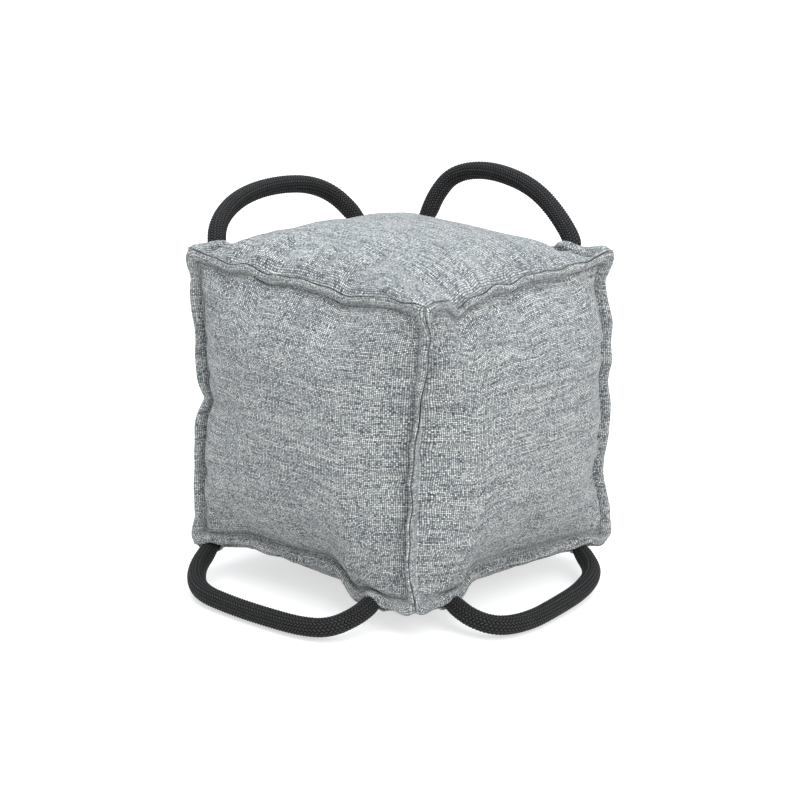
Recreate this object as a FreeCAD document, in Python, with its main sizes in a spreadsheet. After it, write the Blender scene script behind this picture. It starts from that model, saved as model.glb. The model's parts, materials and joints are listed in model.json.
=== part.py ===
import FreeCAD, Part

import math
import os

from FreeCAD import Placement, Rotation, Vector

# A soft training bumper: a stuffed cube of six cloth panels, with a stitched flange along each of its
# twelve edges and four short rope handles sewn into four of them.
#
# The frame: +Z up, the origin on the floor at the middle of the flat patch that the bumper rests on,
# and the panels square to the X, Y and Z axes.

DRIVING_SIZES = {
    "seam_span": 190.0,       # between opposite seams, both ways across the floor
    "seam_height": 193.0,     # from the bottom seams to the top seams
    "seam_lift": 23.5,        # the bottom seams' height above the floor
    "crown": 24.0,            # how far a panel's middle stands proud of its seams
    "base_crown": 36.0,       # the same for the bottom panel, before the floor flattens it
    "cloth": 1.3,             # thickness of the cloth
    "flange": 8.0,            # from the seam to the folded tip of the flange
    "hem_fold": 3.1,          # thickness of one panel's folded hem
    "hem_gap": 0.4,           # the slit between the two hems of a flange
    "hem_root": 1.6,          # how far a hem runs on inside its seam
    "thread": 0.9,            # diameter of the topstitching thread
    "thread_gap": 0.1,        # from the thread to the cloth beside it
    "thread_rise": 0.2,       # how far out from its seam the thread lies, clear of the bulge's foot
    "thread_end": 3.5,        # how far short of its seam's corners the thread stops
    "rope": 12.5,             # diameter of the handles' rope
    "core": 8.0,              # diameter of the rope's core
    "core_room": 8.4,         # diameter of the space for the core in the braided sheath
    "rope_gap": 0.35,         # from the rope to whatever lets it through
    "rope_depth": 14.0,       # how far a rope end reaches inside its seam
    "rope_mouth": 20.0,       # width of the mouth that the hems leave round a rope
    "mouth_reach": 5.0,       # half the mouth's width across the flange
    "tack": 1.0,              # diameter of a bar tack's thread
    "tack_pitch": 3.5,        # from one bar tack to the next
    "fill_gap": 0.3,          # from the stuffing to the cloth round it
}

# The handles. along is the direction of a handle's edge, side and level say which edge it is, lean is the
# angle of its loop from the vertical in degrees, and route is its rope's line in the plane of the loop:
# (along the edge, out from the flange's tip), with the first and last points on the tip.
HANDLES = {
    "front": {
        "along": Vector(1, 0, 0),
        "side": Vector(0, -1, 0),
        "level": "bottom",
        "lean": 77.0,
        "route": [(-85, 0), (-74, 24), (-52, 44), (-18, 46.8), (14, 46.4), (42, 44.5), (60, 37.5),
                  (66, 19), (64.5, 0)],
    },
    "right": {
        "along": Vector(0, 1, 0),
        "side": Vector(1, 0, 0),
        "level": "bottom",
        "lean": 75.0,
        "route": [(-65, 0), (-68, 20), (-59, 36), (-34, 41.5), (-2, 38.5), (28, 34), (54, 22), (66, 0)],
    },
    "back": {
        "along": Vector(1, 0, 0),
        "side": Vector(0, 1, 0),
        "level": "top",
        "lean": 30.0,
        "route": [(-67, 0), (-66, 17), (-58, 33), (-34, 40.5), (-6, 37), (20, 27.5), (42, 19), (52, 0)],
    },
    "left": {
        "along": Vector(0, 1, 0),
        "side": Vector(-1, 0, 0),
        "level": "top",
        "lean": 45.0,
        "route": [(-74, 0), (-65, 18), (-40, 32), (-14, 38.5), (14, 39), (38, 34), (55, 21), (60.5, 0)],
    },
}

doc = FreeCAD.newDocument("TrainingBumper")


def driving_sheet():
    """The spreadsheet of driving dimensions, each cell with its own alias."""
    sheet = doc.addObject("Spreadsheet::Sheet", "Dimensions")
    for row, (alias, value) in enumerate(DRIVING_SIZES.items(), start=1):
        sheet.set(f"A{row}", alias)
        sheet.set(f"B{row}", str(value))
        sheet.setAlias(f"B{row}", alias)
    doc.recompute()
    return sheet


SHEET = driving_sheet()
SPAN = SHEET.seam_span
HEIGHT = SHEET.seam_height
LIFT = SHEET.seam_lift
CROWN = SHEET.crown
CLOTH = SHEET.cloth
FLANGE = SHEET.flange
ROPE = SHEET.rope
ROPE_GAP = SHEET.rope_gap
HALF_SPAN = SPAN / 2
MIDDLE_HEIGHT = LIFT + HEIGHT / 2
UP = Vector(0, 0, 1)

parts = []


def sub_part(thing, label):
    """Names a finished sub-part and puts it on the list to be written out."""
    thing.Label = label
    parts.append(thing)
    return thing


def bind(thing, **expressions):
    """Binds an object's sizes to the sheet's aliases, such as Radius='rope / 2'."""
    for name, expression in expressions.items():
        for alias in DRIVING_SIZES:
            expression = f" {expression} ".replace(f" {alias} ", f" Dimensions.{alias} ").strip()
        thing.setExpression(name, expression)
    return thing


# ---- The cloth panels ----

def side_placement(turn):
    """An upright panel's placement, its own Z outward and its Y up: front at 0 degrees, right at 90."""
    rotation = Rotation(UP, turn) * Rotation(Vector(1, 0, 0), 90)
    outward = rotation.multVec(UP)
    return Placement(outward * HALF_SPAN + UP * MIDDLE_HEIGHT, rotation)


# each panel's placement, its size up its own Y, and its crown
PANELS = {
    "front": (side_placement(0), HEIGHT, CROWN),
    "right": (side_placement(90), HEIGHT, CROWN),
    "back": (side_placement(180), HEIGHT, CROWN),
    "left": (side_placement(270), HEIGHT, CROWN),
    "top": (Placement(UP * (LIFT + HEIGHT), Rotation()), SPAN, CROWN),
    "bottom": (Placement(UP * LIFT, Rotation(Vector(1, 0, 0), 180)), SPAN, SHEET.base_crown),
}


def crown_face(depth, crown, inset):
    """A panel's bulged surface, SPAN wide and depth deep, with straight edges, set in by inset all round."""
    half_width = SPAN / 2 - inset
    half_depth = depth / 2 - inset
    surface = Part.BezierSurface()
    surface.increase(2, 2)
    for column, x in enumerate((-half_width, 0, half_width), start=1):
        for row, y in enumerate((-half_depth, 0, half_depth), start=1):
            # the middle one of nine poles carries a quarter of its height to the surface
            rise = 4 * crown if column == row == 2 else 0
            surface.setPole(column, row, Vector(x, y, rise - inset))
    return surface.toShape()


def closed_solid(faces):
    """The solid that the faces close, with its normals outward."""
    shell = Part.makeShell(faces)
    shell.sewShape()
    solid = Part.makeSolid(shell)
    if solid.Volume < 0:
        solid.reverse()
    return solid


def crowned_cloth(depth, crown):
    """A panel's cloth from seam to seam: the outer and inner bulges, joined by a mitred rim."""
    def corners(inset):
        x = SPAN / 2 - inset
        y = depth / 2 - inset
        return [Vector(-x, -y, -inset), Vector(x, -y, -inset), Vector(x, y, -inset), Vector(-x, y, -inset)]

    outer = corners(0)
    inner = corners(CLOTH)
    rim = []
    for here in range(4):
        following = (here + 1) % 4
        loop = [outer[here], outer[following], inner[following], inner[here], outer[here]]
        rim.append(Part.Face(Part.makePolygon(loop)))
    return closed_solid([crown_face(depth, crown, 0), crown_face(depth, crown, CLOTH)] + rim)


def bulged_cube(inset):
    """The solid inside the six panels' bulges, set in by inset, with its bottom not yet flattened."""
    faces = []
    for placement, depth, crown in PANELS.values():
        face = crown_face(depth, crown, inset)
        face.Placement = placement
        faces.append(face)
    return closed_solid(faces)


def above(height):
    """Everything over a level, as a block that is larger than the bumper."""
    width = 2 * SPAN
    return Part.makeBox(width, width, width, Vector(-width / 2, -width / 2, height))


def flattened_cloth(placement):
    """The bottom panel's cloth, pressed flat where it lies on the floor."""
    bulge = crowned_cloth(SPAN, SHEET.base_crown)
    bulge.Placement = placement
    foot = bulged_cube(0).common(above(0)).cut(above(CLOTH))
    return bulge.common(above(0)).fuse(foot).removeSplitter()


def hem_path(name, depth):
    """The seam line round a panel, from the middle of one side."""
    x = SPAN / 2
    y = depth / 2
    corners = [Vector(0, -y, 0), Vector(x, -y, 0), Vector(x, y, 0), Vector(-x, y, 0), Vector(-x, -y, 0),
               Vector(0, -y, 0)]
    path = doc.addObject("Part::Feature", f"{name}_seam_line")
    path.Shape = Part.makePolygon(corners)
    return path


def hem_section(name, depth):
    """The folded hem's section: flat against the flange's middle plane and rounded at its tip."""
    seam = Vector(0, -depth / 2, 0)
    out = Vector(0, -1, 1).normalize()
    across = Vector(0, 1, 1).normalize()
    near = SHEET.hem_gap / 2
    far = near + SHEET.hem_fold
    middle = (near + far) / 2
    shoulder = FLANGE - SHEET.hem_fold / 2
    root = -SHEET.hem_root
    near_root = seam + out * root + across * near
    far_root = seam + out * root + across * far
    near_shoulder = seam + out * shoulder + across * near
    far_shoulder = seam + out * shoulder + across * far
    tip = seam + out * FLANGE + across * middle
    edges = [
        Part.LineSegment(near_root, near_shoulder).toShape(),
        Part.Arc(near_shoulder, tip, far_shoulder).toShape(),
        Part.LineSegment(far_shoulder, far_root).toShape(),
        Part.LineSegment(far_root, near_root).toShape(),
    ]
    section = doc.addObject("Part::Feature", f"{name}_hem_section")
    section.Shape = Part.Wire(edges)
    return section


def make_panel(name, openings):
    """One panel: its crowned cloth and its hem all round, cut where the ropes go through."""
    placement, depth, crown = PANELS[name]
    cloth = doc.addObject("Part::Feature", f"{name}_cloth")
    if name == "bottom":
        cloth.Shape = flattened_cloth(placement)
    else:
        cloth.Shape = crowned_cloth(depth, crown)
        cloth.Placement = placement
    path = hem_path(name, depth)
    section = hem_section(name, depth)
    path.Placement = placement
    section.Placement = placement
    hem = doc.addObject("Part::Sweep", f"{name}_hem")
    hem.Sections = [section]
    hem.Spine = (path, [f"Edge{number}" for number in range(1, len(path.Shape.Edges) + 1)])
    hem.Solid = True
    hem.Transition = "Right corner"
    joined = doc.addObject("Part::MultiFuse", f"{name}_cloth_and_hem")
    joined.Shapes = [cloth, hem]
    panel = doc.addObject("Part::Cut", f"{name}_panel_cut")
    panel.Base = joined
    panel.Tool = openings
    return sub_part(panel, f"{name}_panel")


# ---- Where the ropes go through the seams ----

def seam_level(handle):
    """The height of a handle's seam and the sign of up and down there."""
    if handle["level"] == "top":
        return LIFT + HEIGHT, 1
    return LIFT, -1


def flange_out(handle):
    """The direction in which a handle's flange stands out from its seam."""
    sign = seam_level(handle)[1]
    return (handle["side"] + UP * sign).normalize()


def tip_middle(handle):
    """The middle of a handle's flange tip, where its hinge line runs."""
    level = seam_level(handle)[0]
    return handle["side"] * HALF_SPAN + UP * level + flange_out(handle) * FLANGE


def end_places(handle):
    """The two places on the flange's tip where a handle's rope comes out."""
    middle = tip_middle(handle)
    return [middle + handle["along"] * handle["route"][index][0] for index in (0, -1)]


def rope_opening(name, handle, place):
    """A channel through the seam for one rope end, and the wider mouth that its flange leaves."""
    out = flange_out(handle)
    turned = Rotation(handle["along"], Vector(), out, "ZXY")
    channel = doc.addObject("Part::Cylinder", f"{name}_channel")
    bind(channel, Radius="rope / 2 + rope_gap", Height="flange + rope_depth + rope_gap")
    channel.Placement = Placement(place - out * (FLANGE + SHEET.rope_depth + ROPE_GAP), turned)
    mouth = doc.addObject("Part::Box", f"{name}_mouth")
    bind(mouth, Length="rope_mouth", Width="2 * mouth_reach", Height="rope / 2 + 2 * rope_gap + flange / 4")
    mouth_corner = Vector(-SHEET.rope_mouth / 2, -SHEET.mouth_reach, -ROPE / 2 - 2 * ROPE_GAP)
    mouth.Placement = Placement(place + turned.multVec(mouth_corner), turned)
    return [channel, mouth]


def make_openings():
    """Every rope opening, as one tool for the panels, the stuffing and the thread."""
    tools = []
    for name, handle in HANDLES.items():
        for number, place in enumerate(end_places(handle), start=1):
            tools += rope_opening(f"{name}_opening_{number}", handle, place)
    openings = doc.addObject("Part::MultiFuse", "rope_openings")
    openings.Shapes = tools
    return openings


# ---- The stuffing ----

def make_stuffing(openings):
    """The fibre fill, just inside the cloth and flat above the bottom panel."""
    inset = CLOTH + SHEET.fill_gap
    fibre = doc.addObject("Part::Feature", "fibre")
    fibre.Shape = bulged_cube(inset).common(above(inset))
    stuffing = doc.addObject("Part::Cut", "stuffing_cut")
    stuffing.Base = fibre
    stuffing.Tool = openings
    return sub_part(stuffing, "stuffing")


# ---- The topstitching ----

def edge_lines():
    """The twelve seams: name, middle, direction, length, and the two faces' outward directions."""
    sides = {"front": Vector(0, -1, 0), "right": Vector(1, 0, 0), "back": Vector(0, 1, 0), "left": Vector(-1, 0, 0)}
    for level, height, vertical in (("top", LIFT + HEIGHT, UP), ("bottom", LIFT, UP * -1)):
        for side, outward in sides.items():
            middle = outward * HALF_SPAN + UP * height
            yield f"{level}_{side}", middle, UP.cross(outward), SPAN, outward, vertical
    names = list(sides)
    for index, first in enumerate(names):
        second = names[(index + 1) % 4]
        middle = (sides[first] + sides[second]) * HALF_SPAN + UP * MIDDLE_HEIGHT
        yield f"{first}_{second}", middle, UP, HEIGHT, sides[first], sides[second]


def make_topstitch(name, middle, along, length, first, second, openings):
    """The needle and bobbin threads of one seam, on either side of the foot of its flange."""
    out = (first + second).normalize()
    across = (first - second).normalize()
    reach = SHEET.hem_gap / 2 + SHEET.hem_fold + SHEET.thread / 2 + SHEET.thread_gap
    threads = []
    for kind, sign in (("needle", 1), ("bobbin", -1)):
        thread = doc.addObject("Part::Cylinder", f"{name}_{kind}_thread")
        seam_size = "seam_height" if along.z else "seam_span"
        bind(thread, Radius="thread / 2", Height=f"{seam_size} - 2 * thread_end")
        foot = across * (sign * reach) + out * SHEET.thread_rise
        start = middle - along * (length / 2 - SHEET.thread_end) + foot
        thread.Placement = Placement(start, Rotation(UP, along))
        threads.append(thread)
    pair = doc.addObject("Part::Compound", f"{name}_threads")
    pair.Links = threads
    if name not in {f"{handle['level']}_{side}" for side, handle in HANDLES.items()}:
        return sub_part(pair, f"{name}_topstitch")
    parted = doc.addObject("Part::Cut", f"{name}_parted_threads")
    parted.Base = pair
    parted.Tool = openings
    return sub_part(parted, f"{name}_topstitch")


# ---- The handles ----

def loop_placement(handle):
    """The placement of a handle's own plane: X along the edge, Y out from the flange's tip."""
    sign = seam_level(handle)[1]
    lean = math.radians(handle["lean"])
    out = handle["side"] * math.sin(lean) + UP * (sign * math.cos(lean))
    return Placement(tip_middle(handle), Rotation(handle["along"], out, Vector(), "XYZ"))


def rope_route(name, handle):
    """The rope's middle line: straight runs joined by tangent arcs."""
    points = [Vector(along, out, 0) for along, out in handle["route"]]
    edges = []
    radii = []
    start = points[0]
    for before, corner, after in zip(points, points[1:], points[2:]):
        inward = (corner - before).normalize()
        outward = (after - corner).normalize()
        turn = inward.getAngle(outward)
        setback = 0.45 * min(corner.distanceToPoint(before), corner.distanceToPoint(after))
        radius = setback / math.tan(turn / 2)
        arc_start = corner - inward * setback
        arc_end = corner + outward * setback
        sagitta = radius / math.cos(turn / 2) - radius
        arc_middle = corner + (outward - inward).normalize() * sagitta
        edges.append(Part.LineSegment(start, arc_start).toShape())
        edges.append(Part.Arc(arc_start, arc_middle, arc_end).toShape())
        radii.append(round(radius, 1))
        start = arc_end
    edges.append(Part.LineSegment(start, points[-1]).toShape())
    route = doc.addObject("Part::Feature", f"{name}_route")
    route.Shape = Part.Wire(edges)
    print(f"{name}: rope {route.Shape.Length:.1f} long between its seams, bend radii {radii}")
    return route


def rope_sweep(name, handle, route, radius, placement):
    """A round section of the given radius, swept along a handle's route."""
    first, second = (Vector(along, out, 0) for along, out in handle["route"][:2])
    section = doc.addObject("Part::Circle", f"{name}_section")
    bind(section, Radius=radius)
    section.Placement = placement * Placement(first, Rotation(UP, second - first))
    sweep = doc.addObject("Part::Sweep", name)
    sweep.Sections = [section]
    sweep.Spine = (route, [f"Edge{number}" for number in range(1, len(route.Shape.Edges) + 1)])
    sweep.Solid = True
    return sweep


def trimmed_core(name, sweep, handle, placement):
    """The part of a swept core that lies beyond the rope's rounded ends."""
    stops = []
    for index in (0, -1):
        stop = doc.addObject("Part::Sphere", f"{name}_stop_{abs(index)}")
        bind(stop, Radius="rope / 2")
        along, out = handle["route"][index]
        stop.Placement = placement * Placement(Vector(along, out, 0), Rotation())
        stops.append(stop)
    cut = doc.addObject("Part::Cut", f"{name}_beyond_first_end")
    cut.Base = sweep
    cut.Tool = stops[0]
    core = doc.addObject("Part::Cut", f"{name}_beyond_both_ends")
    core.Base = cut
    core.Tool = stops[1]
    return core


def make_handle(name, handle):
    """One rope handle: its braided sheath with round ends on the hinge line, and the core inside it."""
    placement = loop_placement(handle)
    route = rope_route(name, handle)
    route.Placement = placement
    outside = rope_sweep(f"{name}_rope", handle, route, "rope / 2", placement)
    ends = []
    for number, index in enumerate((0, -1), start=1):
        end = doc.addObject("Part::Sphere", f"{name}_round_end_{number}")
        bind(end, Radius="rope / 2")
        along, out = handle["route"][index]
        end.Placement = placement * Placement(Vector(along, out, 0), Rotation())
        ends.append(end)
    rounded = doc.addObject("Part::MultiFuse", f"{name}_rounded_rope")
    rounded.Shapes = [outside] + ends
    room = rope_sweep(f"{name}_core_room", handle, route, "core_room / 2", placement)
    hollow = trimmed_core(f"{name}_hollow", room, handle, placement)
    sheath = doc.addObject("Part::Cut", f"{name}_sheath_cut")
    sheath.Base = rounded
    sheath.Tool = hollow
    sub_part(sheath, f"{name}_handle_sheath")
    whole_core = rope_sweep(f"{name}_whole_core", handle, route, "core / 2", placement)
    core = trimmed_core(f"{name}_core", whole_core, handle, placement)
    sub_part(core, f"{name}_handle_core")


def make_rope_ends(name, handle):
    """The two sewn-in ends of a handle's rope, and the bar tacks that hold them in the seam."""
    out = flange_out(handle)
    across = handle["along"].cross(out)
    buried = SHEET.rope_depth + FLANGE - ROPE / 2 - ROPE_GAP
    tacks = []
    for number, place in enumerate(end_places(handle), start=1):
        inner = place - out * (FLANGE + SHEET.rope_depth)
        end = doc.addObject("Part::Cylinder", f"{name}_buried_end_{number}")
        bind(end, Radius="rope / 2", Height="rope_depth + flange - rope / 2 - rope_gap")
        end.Placement = Placement(inner, Rotation(UP, out))
        end_tacks = []
        for row in (-1, 0, 1):
            tack = doc.addObject("Part::Cylinder", f"{name}_tack_{number}_{row + 2}")
            bind(tack, Radius="tack / 2", Height="rope")
            middle = inner + out * (buried / 2 + row * SHEET.tack_pitch)
            tack.Placement = Placement(middle - across * (ROPE / 2), Rotation(UP, across))
            end_tacks.append(tack)
        holes = doc.addObject("Part::MultiFuse", f"{name}_tack_holes_{number}")
        holes.Shapes = end_tacks
        pierced = doc.addObject("Part::Cut", f"{name}_pierced_end_{number}")
        pierced.Base = end
        pierced.Tool = holes
        sub_part(pierced, f"{name}_rope_end_{number}")
        tacks += end_tacks
    group = doc.addObject("Part::Compound", f"{name}_tacks")
    group.Links = tacks
    sub_part(group, f"{name}_handle_bar_tacks")


def build():
    """Makes every sub-part of the bumper."""
    openings = make_openings()
    for name in PANELS:
        make_panel(name, openings)
    make_stuffing(openings)
    for seam in edge_lines():
        make_topstitch(*seam, openings)
    for name, handle in HANDLES.items():
        make_handle(name, handle)
        make_rope_ends(name, handle)
    doc.recompute()


def check():
    """Stops if any object failed to build, or a sub-part has no valid shape."""
    for thing in doc.Objects:
        if "Invalid" in thing.State or "Error" in thing.State:
            raise RuntimeError(f"{thing.Name} failed: {thing.State}")
    for part in parts:
        if part.Shape.isNull() or not part.Shape.isValid() or not part.Shape.Solids:
            raise RuntimeError(f"{part.Label} has no valid solid")


def write():
    """Writes each sub-part to its own STEP file."""
    os.makedirs("parts", exist_ok=True)
    for part in parts:
        part.Shape.exportStep(f"parts/{part.Label}.step")
        box = part.Shape.BoundBox
        print(f"{part.Label}: {len(part.Shape.Solids)} solids, {part.Shape.Volume / 1000:.2f} cm3, "
              f"z {box.ZMin:.1f} to {box.ZMax:.1f}")


build()
check()
write()
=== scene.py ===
import json
import math

import bpy
import numpy as np
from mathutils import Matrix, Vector


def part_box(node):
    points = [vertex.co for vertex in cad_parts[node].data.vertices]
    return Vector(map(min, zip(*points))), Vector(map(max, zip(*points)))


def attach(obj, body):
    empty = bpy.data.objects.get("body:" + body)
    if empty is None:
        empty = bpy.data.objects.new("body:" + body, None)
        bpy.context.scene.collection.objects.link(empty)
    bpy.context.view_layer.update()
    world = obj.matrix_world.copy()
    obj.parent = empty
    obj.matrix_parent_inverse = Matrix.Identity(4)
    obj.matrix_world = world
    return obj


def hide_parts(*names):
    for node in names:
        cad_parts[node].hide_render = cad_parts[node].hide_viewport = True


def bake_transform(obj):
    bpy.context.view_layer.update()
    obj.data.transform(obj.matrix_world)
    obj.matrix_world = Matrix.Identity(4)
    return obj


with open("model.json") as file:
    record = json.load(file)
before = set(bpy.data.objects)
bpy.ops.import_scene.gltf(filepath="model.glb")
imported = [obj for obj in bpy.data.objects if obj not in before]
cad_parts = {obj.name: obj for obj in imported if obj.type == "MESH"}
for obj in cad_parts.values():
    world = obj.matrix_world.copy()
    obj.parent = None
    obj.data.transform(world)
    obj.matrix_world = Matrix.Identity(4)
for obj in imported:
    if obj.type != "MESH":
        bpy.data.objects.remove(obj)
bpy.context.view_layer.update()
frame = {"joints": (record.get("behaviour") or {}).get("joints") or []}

# A stuffed cloth cube with sewn flanges and four rope handles. Every length is in metres.

MM = 0.001
ROOT = "cube"
RNG_SEED = 7

# ---- The cube's seams, from the frame ----

THREAD_END = 3.5 * MM         # how far short of its seam's corners each topstitching stops
upright_low, upright_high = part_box("front_right_topstitch")
SEAM_LOW = upright_low.z - THREAD_END
SEAM_HIGH = upright_high.z + THREAD_END
SEAM_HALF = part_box("top_front_topstitch")[1].x + THREAD_END
SEAM_MIDDLE = (SEAM_LOW + SEAM_HIGH) / 2
FLANGE = 8.0 * MM             # from the seam to the flange's tip
ROPE_DIAMETER = 12.5 * MM

CELLS = 44                    # cells along a panel's side in the cloth simulation
FINER = 3                     # and how many parts each is cut into afterwards
FINE = CELLS * FINER


def vector(*values):
    """A numpy vector of floats."""
    return np.array(values, float)


def both(*pulls):
    """A seam's pulls that are the same along both its panels' normals."""
    return [(share, pull, pull) for share, pull in pulls]


X, Y, Z = vector(1, 0, 0), vector(0, 1, 0), vector(0, 0, 1)

# name: outward normal, and the panel's own right and up, so that right x up = outward
PANELS = {
    "front": (-Y, X, Z),
    "right": (X, Y, Z),
    "back": (Y, -X, Z),
    "left": (-X, -Y, Z),
    "top": (Z, X, Y),
    "bottom": (-Z, X, -Y),
}

# Each seam: the direction that it runs in, how far in mm its flange's tip leans towards its first panel at
# its start, middle and end, how much of its flange's height stands clear of the bulging panels, how softly
# those run into it (0 to 1), and where the stuffing and the stitches have pulled it off its straight line:
# (share of its length, mm out along its first panel's normal, mm out along its second's), negative when in.
EVEN_PULL = [(0, 0, 0), (0.12, -2.5, -2), (0.3, -5.5, -4), (0.5, -7, -5), (0.7, -5.5, -4), (0.88, -2.5, -2),
             (1, 0, 0)]
SEAMS = {
    "top_front": (X, (1, 1, 1), 0.75, 0.6, [
        (0, 0, 0), (0.08, -3.3, -1), (0.17, -5.2, -2.5), (0.25, -3.4, -3), (0.33, -7.6, -4), (0.4, -4.8, -4),
        (0.49, -5.2, -4.5), (0.6, -6, -4.5), (0.67, -8.6, -4.5), (0.75, -5.4, -4), (0.87, -2.8, -2.5),
        (1, 0, 0)]),
    "top_right": (Y, (1, 1, 1), 0.78, 0.6, [
        (0, 0, 0), (0.07, -0.3, -1), (0.11, -2.8, -2), (0.17, -10.3, -4), (0.24, -6.3, -3.5),
        (0.35, -3.3, -4), (0.46, -4.6, -5), (0.56, -2.4, -4.5), (0.72, -4.3, -4), (0.88, -4.3, -3),
        (1, 0, 0)]),
    "top_back": (X, (1, 1, 1), 1, 0.6, EVEN_PULL),
    "top_left": (Y, (1, 1, 1), 1, 0.6, EVEN_PULL),
    "bottom_front": (X, (0, 0, 0), 1, 1, [
        (0, 0, 0), (0.06, -1.5, -0.5), (0.12, -4.5, -1.5), (0.18, -7.5, -2.5), (0.24, -8.8, -3.5),
        (0.36, -8.6, -4.5), (0.48, -9, -5), (0.54, -9.8, -5), (0.59, -10.8, -5), (0.64, -9, -4.5),
        (0.7, -2.8, -3), (0.75, 2.2, -1.5), (0.82, 1.2, -1), (0.9, 1.6, -0.5), (1, 0, 0)]),
    "bottom_right": (Y, (0, 0, 0), 1, 1, [
        (0, 0, 0), (0.08, 1, -0.5), (0.15, 1.2, -1), (0.21, 0, -1.5), (0.26, -5.5, -3), (0.3, -7.4, -4),
        (0.4, -8, -5), (0.48, -8.3, -5), (0.55, -6.5, -4.5), (0.67, -5.5, -4), (0.8, -4.6, -3),
        (0.9, -3, -1.5), (1, 0, 0)]),
    "bottom_back": (X, (0, 0, 0), 1, 1, EVEN_PULL),
    "bottom_left": (Y, (0, 0, 0), 1, 1, EVEN_PULL),
    "front_right": (Z, (4.2, 3.4, -7), 0.95, 0.8, [
        (0, 0, 0), (0.1, -2, -2.5), (0.25, -3.5, -4), (0.45, -4.5, -5), (0.6, -4.5, -5), (0.75, -3.5, -4),
        (0.9, -1.5, -1.5), (1, 0, 0)]),
    "right_back": (Z, (0, 0, 0), 1, 0.5, both(
        (0, 0), (0.09, 0), (0.17, -2.1), (0.22, -3.5), (0.28, -3.2), (0.36, -1.7), (0.46, -0.7), (0.57, -1.2),
        (0.66, -0.6), (0.75, -0.1), (0.83, -1.6), (0.91, -2.8), (1, 0))),
    "back_left": (Z, (0, 0, 0), 1, 0.6, EVEN_PULL),
    "left_front": (Z, (0, 0, 0), 1, 0.5, both(
        (0, 0), (0.08, -0.9), (0.15, -1.4), (0.26, -1.6), (0.36, -2.1), (0.43, -3.6), (0.47, -5), (0.5, -6.4),
        (0.53, -5.4), (0.6, -3.8), (0.7, -3.3), (0.83, -2.1), (0.92, -1), (1, 0))),
}

# how far in mm the stuffed cube's corners have moved off their square, by each one's side of the middle
CORNER_PULLS = {
    (1, -1, 1): (2.3, 2.0, -0.9),
    (1, 1, 1): (-2.4, -2.0, 1.6),
    (-1, 1, 1): (2.6, 2.2, -3.5),
    (1, 1, -1): (1.4, 1.2, -1.0),
    (-1, -1, 1): (-2.2, -1.8, 3.6),
    (-1, -1, -1): (0, 0, 1.0),
}
# the corners whose flanges stand out in longer ears than the others, and by what share of a flange's height
LONG_EARS = {(1, 1, 1): 0.42, (-1, -1, 1): 0.26, (-1, -1, -1): 0.38}
SHORT_EAR = 0.16
# the seams where one panel's hem is pressed flat: that panel, and how softly it runs on into the hem at the
# seam's start and end
FLAT_HEMS = {"top_front": ("top", 0.5, 0.5), "top_right": ("top", 0.5, 0.5), "front_right": ("right", 1, 0.1)}
NO_HEM = ("", 0, 0)

# Each handle: the seam that it is sewn into, its edge's direction, its side of the cube, its loop's lean
# from the vertical in degrees, and its rope's line in the plane of the loop: (along the edge, out from the
# flange's tip), with the first and last points on the tip.
HANDLES = {
    "front": ("bottom_front", X, -Y, 77.0,
              [(-0.085, 0), (-0.074, 0.024), (-0.052, 0.044), (-0.018, 0.0468), (0.014, 0.0464),
               (0.042, 0.0445), (0.06, 0.0375), (0.066, 0.019), (0.0645, 0)]),
    "right": ("bottom_right", Y, X, 75.0,
              [(-0.065, 0), (-0.068, 0.02), (-0.059, 0.036), (-0.034, 0.0415), (-0.002, 0.0385),
               (0.03, 0.034), (0.058, 0.023), (0.072, 0)]),
    "back": ("top_back", X, Y, 30.0,
             [(-0.067, 0), (-0.066, 0.017), (-0.058, 0.033), (-0.034, 0.0405), (-0.004, 0.0383),
              (0.0215, 0.0305), (0.0455, 0.0157), (0.064, 0)]),
    "left": ("top_left", Y, -X, 45.0,
             [(-0.0765, 0), (-0.0635, 0.017), (-0.04, 0.03), (-0.014, 0.0362), (0.014, 0.0368),
              (0.039, 0.0325), (0.0555, 0.0205), (0.062, 0)]),
}
ROPE_STUB = 16 * MM           # how far the modelled rope runs on into its seam from the flange's tip


def smooth_step(x):
    """0 below 0, 1 above 1, and smooth between."""
    x = np.clip(x, 0, 1)
    return x * x * (3 - 2 * x)


def fade_to_ends(share, times):
    """0 at both ends of a seam, rising smoothly to 1 within its length divided by times."""
    return smooth_step(share * times) * smooth_step((1 - share) * times)


def spline(places, values, at):
    """A smooth curve through values at rising places, read at any places between them."""
    places = np.asarray(places, float)
    values = np.asarray(values, float)
    at = np.asarray(at, float)
    slopes = np.gradient(values, places)
    index = np.clip(np.searchsorted(places, at, side="right") - 1, 0, len(places) - 2)
    gap = places[index + 1] - places[index]
    x = (at - places[index]) / gap
    start, end = values[index], values[index + 1]
    start_slope, end_slope = slopes[index] * gap, slopes[index + 1] * gap
    return (start * (2 * x**3 - 3 * x**2 + 1) + start_slope * (x**3 - 2 * x**2 + x)
            + end * (3 * x**2 - 2 * x**3) + end_slope * (x**3 - x**2))


RIPPLE_SINES = 4
RIPPLE_GAIN = 1.6             # brings their mean to about 1 high


def ripple(seed, at, low, high):
    """A seeded sum of sines with between low and high waves over the range 0 to 1, about 1 high."""
    rng = np.random.default_rng(RNG_SEED * 1000 + seed)
    total = np.zeros_like(np.asarray(at, float))
    for _ in range(RIPPLE_SINES):
        waves = rng.uniform(low, high)
        total += np.sin(2 * math.pi * (waves * np.asarray(at, float) + rng.uniform())) / RIPPLE_SINES
    return total * RIPPLE_GAIN


def unit(values):
    """A vector, or each row of an array of them, brought to length 1."""
    return values / np.linalg.norm(values, axis=-1, keepdims=True)


def grid_quads(index):
    """The quads of a grid of points, from its table of their numbers."""
    return np.stack([index[:-1, :-1], index[1:, :-1], index[1:, 1:], index[:-1, 1:]], axis=-1).reshape(-1, 4)


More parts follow.
